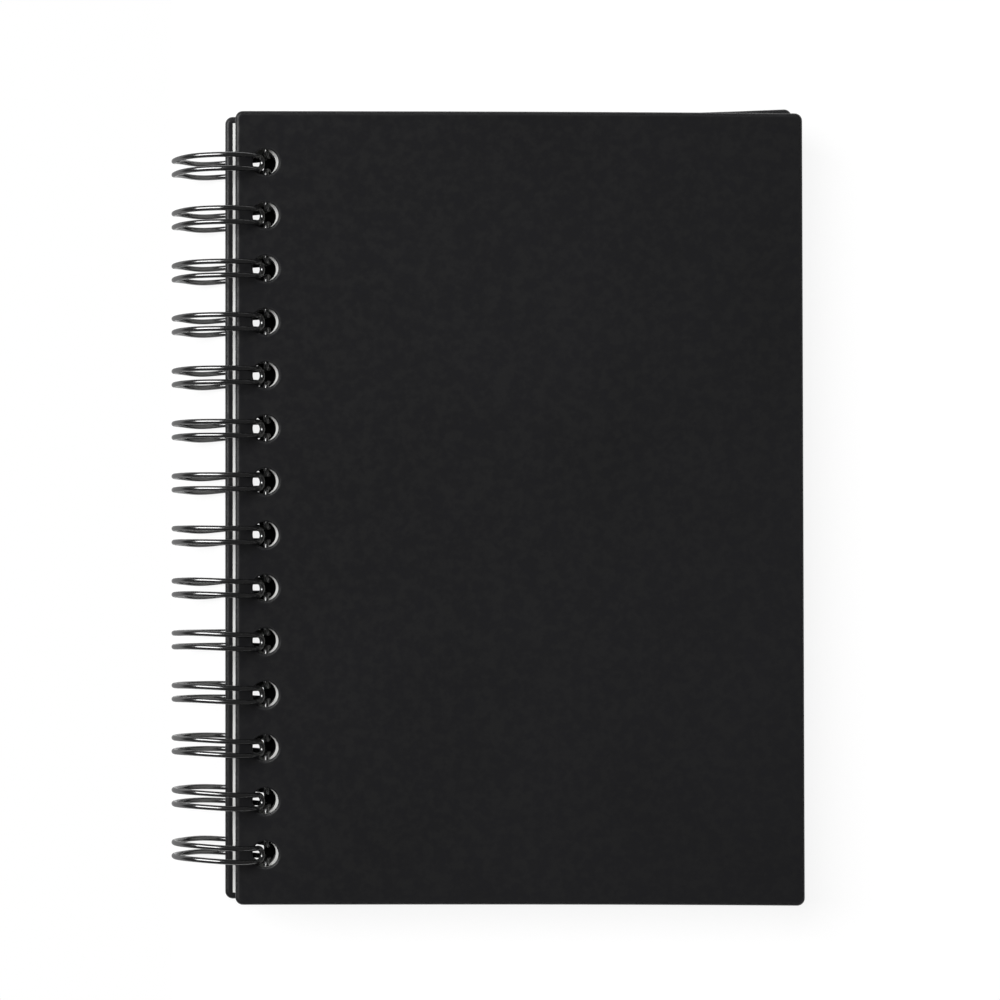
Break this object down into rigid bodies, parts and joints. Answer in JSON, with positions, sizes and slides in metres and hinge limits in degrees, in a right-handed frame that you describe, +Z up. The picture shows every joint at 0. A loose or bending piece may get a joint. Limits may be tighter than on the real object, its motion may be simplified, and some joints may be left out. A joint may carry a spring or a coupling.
{
  "type": "wire-bound notebook",
  "caption": "Hard-cover notebook: two board covers and a block of pages held by a twin-loop wire binding along the spine, so that the covers swing open.",
  "frame": {"origin": "centre of the overall footprint, at the lowest point of the wire rings", "axes": "+Y along the spine towards the head, +X from the spine to the fore edge, +Z up through the front cover"},
  "size_m": [0.1518, 0.192, 0.0238],
  "materials": {
    "cover_wrap": "matte",
    "page_paper": "matte",
    "binding_wire": "gloss"
  },
  "bodies": {
    "back": {"back_cover": "cover_wrap"},
    "binding": {"wire_binding": "binding_wire", "page_block": "page_paper"},
    "front": {"front_cover": "cover_wrap"}
  },
  "joints": [
    {"name": "back_cover_hinge", "type": "hinge", "parent": "back", "child": "binding", "pos_m": [-0.06393, 0, 0.01192], "axis": [0, -1, 0], "range_deg": [0, 25]},
    {"name": "front_cover_hinge", "type": "hinge", "parent": "binding", "child": "front", "pos_m": [-0.06393, 0, 0.01192], "axis": [0, -1, 0], "range_deg": [0, 180]}
  ]
}
